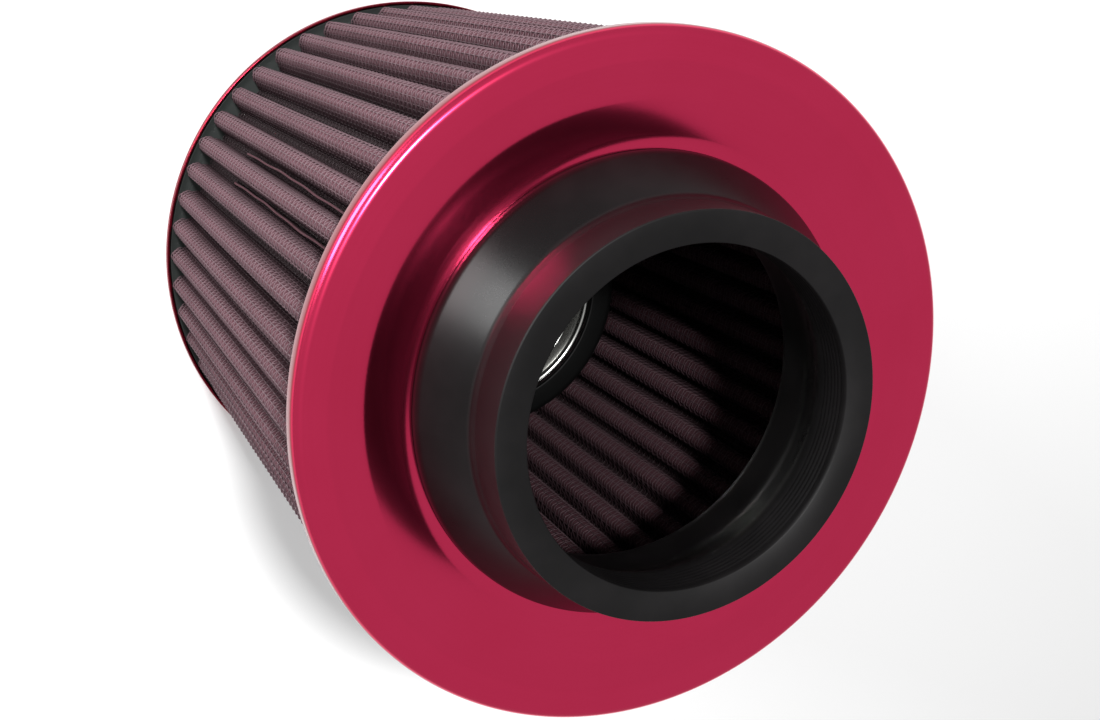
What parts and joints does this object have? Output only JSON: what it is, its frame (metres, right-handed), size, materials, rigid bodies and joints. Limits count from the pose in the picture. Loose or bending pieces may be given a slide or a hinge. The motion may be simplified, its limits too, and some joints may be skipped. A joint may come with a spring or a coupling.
{
  "type": "air filter",
  "caption": "Round pleated intake air filter with a red metal front ring, a black rubber neck and an inverted pleated cone at the rear.",
  "frame": {"origin": "centre of the rear channel's flat outer face", "axes": "+Z along the filter's axis towards the neck's mouth, +X and +Y alike across it"},
  "size_m": [0.159, 0.159, 0.1744],
  "materials": {
    "red_anodised": "satin anodised",
    "neck_rubber": "satin",
    "potting": "matt",
    "wire_mesh": "woven, epoxy coated",
    "oiled_gauze": "oiled cotton",
    "polished_dish": "polished"
  },
  "bodies": {
    "root": {"front_trim_ring": "red_anodised", "neck_boot": "neck_rubber", "front_potting": "potting", "outer_screen": "wire_mesh", "outer_gauze": "oiled_gauze", "inner_screen": "wire_mesh", "seam_strip_a": "oiled_gauze", "seam_strip_b": "oiled_gauze", "rear_cap": "red_anodised", "rear_potting": "potting", "cone_outer_screen": "wire_mesh", "cone_gauze": "oiled_gauze", "cone_inner_screen": "wire_mesh", "cone_crown": "potting", "dome_dish": "polished_dish"}
  },
  "joints": []
}
